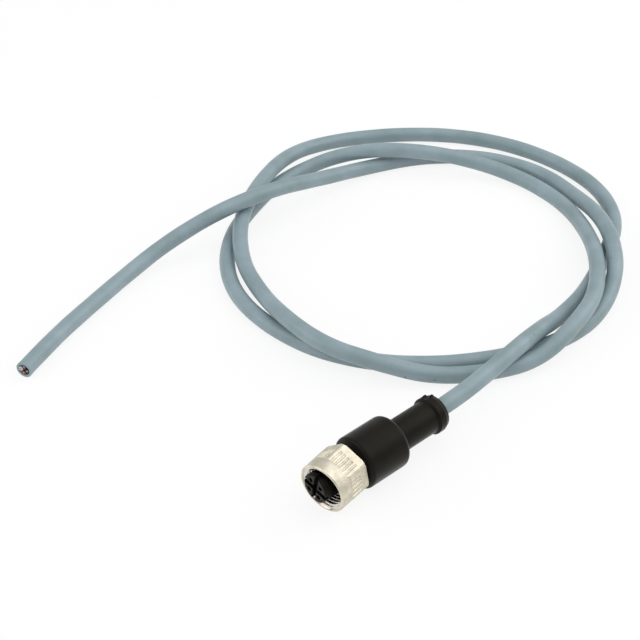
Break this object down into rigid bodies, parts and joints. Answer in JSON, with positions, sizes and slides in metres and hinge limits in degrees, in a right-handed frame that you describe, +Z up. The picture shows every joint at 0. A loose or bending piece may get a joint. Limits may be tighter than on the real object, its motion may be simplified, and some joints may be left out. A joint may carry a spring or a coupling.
{
  "type": "m12 cable connector",
  "caption": "Straight female M12 cable connector with a loose threaded coupling nut, a moulded grip and a free grey cable that ends bare.",
  "frame": {"origin": "on the floor, under the middle of the connector, measured without its cable", "axes": "+X along the connector's axis out of the mating face, +Z up; the cable leaves towards -X"},
  "size_m": [0.2032, 0.1399, 0.0159],
  "materials": {
    "nickel_brass": "turned brass, nickel-plated, satin to bright",
    "insert_black": "moulded polyamide, fine satin",
    "seal_rubber": "smooth rubber",
    "grip_rubber": "matte soft moulding",
    "jacket_grey": "extruded PVC, satin",
    "gold_contact": "gold-plated",
    "copper": "bare stranded copper",
    "core_white": "extruded insulation",
    "core_brown": "extruded insulation",
    "core_blue": "extruded insulation",
    "core_black": "extruded insulation"
  },
  "bodies": {
    "connector": {"grip_body": "grip_rubber", "contact_carrier": "insert_black", "carrier_flange": "insert_black", "carrier_root": "insert_black", "o_ring": "seal_rubber", "socket_contact_1": "gold_contact", "socket_contact_2": "gold_contact", "socket_contact_3": "gold_contact", "socket_contact_4": "gold_contact", "core_white": "core_white", "core_brown": "core_brown", "core_blue": "core_blue", "core_black": "core_black", "strands_white": "copper", "strands_brown": "copper", "strands_blue": "copper", "strands_black": "copper", "cable_jacket": "jacket_grey", "cut_core_white": "core_white", "cut_core_brown": "core_brown", "cut_core_blue": "core_blue", "cut_core_black": "core_black", "cut_strands_white": "copper", "cut_strands_brown": "copper", "cut_strands_blue": "copper", "cut_strands_black": "copper"},
    "nut": {"coupling_nut": "nickel_brass"}
  },
  "joints": [
    {"name": "nut_spin", "type": "hinge", "parent": "connector", "child": "nut", "pos_m": [0.01325, 0, 0.00762], "axis": [0.9903, 0.1229, -0.0653], "continuous": true}
  ]
}
